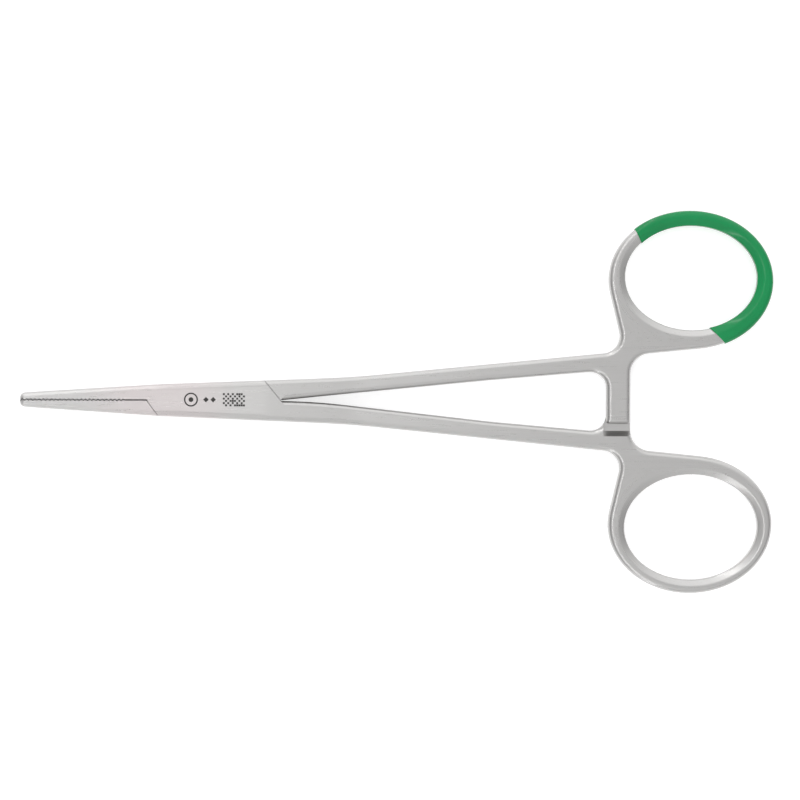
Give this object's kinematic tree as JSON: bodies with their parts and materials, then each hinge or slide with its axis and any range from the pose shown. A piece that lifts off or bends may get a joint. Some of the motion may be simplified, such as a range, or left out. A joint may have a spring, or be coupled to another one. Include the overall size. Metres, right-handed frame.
{
  "type": "hemostat forceps",
  "caption": "Slim straight locking forceps with a box lock, cross-serrated jaws, finger rings and ratchet arms, one ring dipped in a green coating.",
  "frame": {"origin": "on the pivot pin's axis, in the plane of the lower face of the box", "axes": "+X from the pin towards the finger rings, +Z along the pin, +Y towards the coated ring"},
  "size_m": [0.125, 0.0635, 0.004],
  "materials": {
    "forged_steel": "satin, fine glass-bead finish",
    "pin_steel": "ground flush, satin",
    "ring_coating": "glossy dipped polymer"
  },
  "bodies": {
    "box_side": {"box_half": "forged_steel", "pivot_pin": "pin_steel"},
    "tongue_side": {"tongue_half": "forged_steel", "ring_coating": "ring_coating"}
  },
  "joints": [
    {"name": "box_lock", "type": "hinge", "parent": "box_side", "child": "tongue_side", "pos_m": [0, 0, 0.002], "axis": [0, 0, 1], "range_deg": [0, 60]}
  ]
}
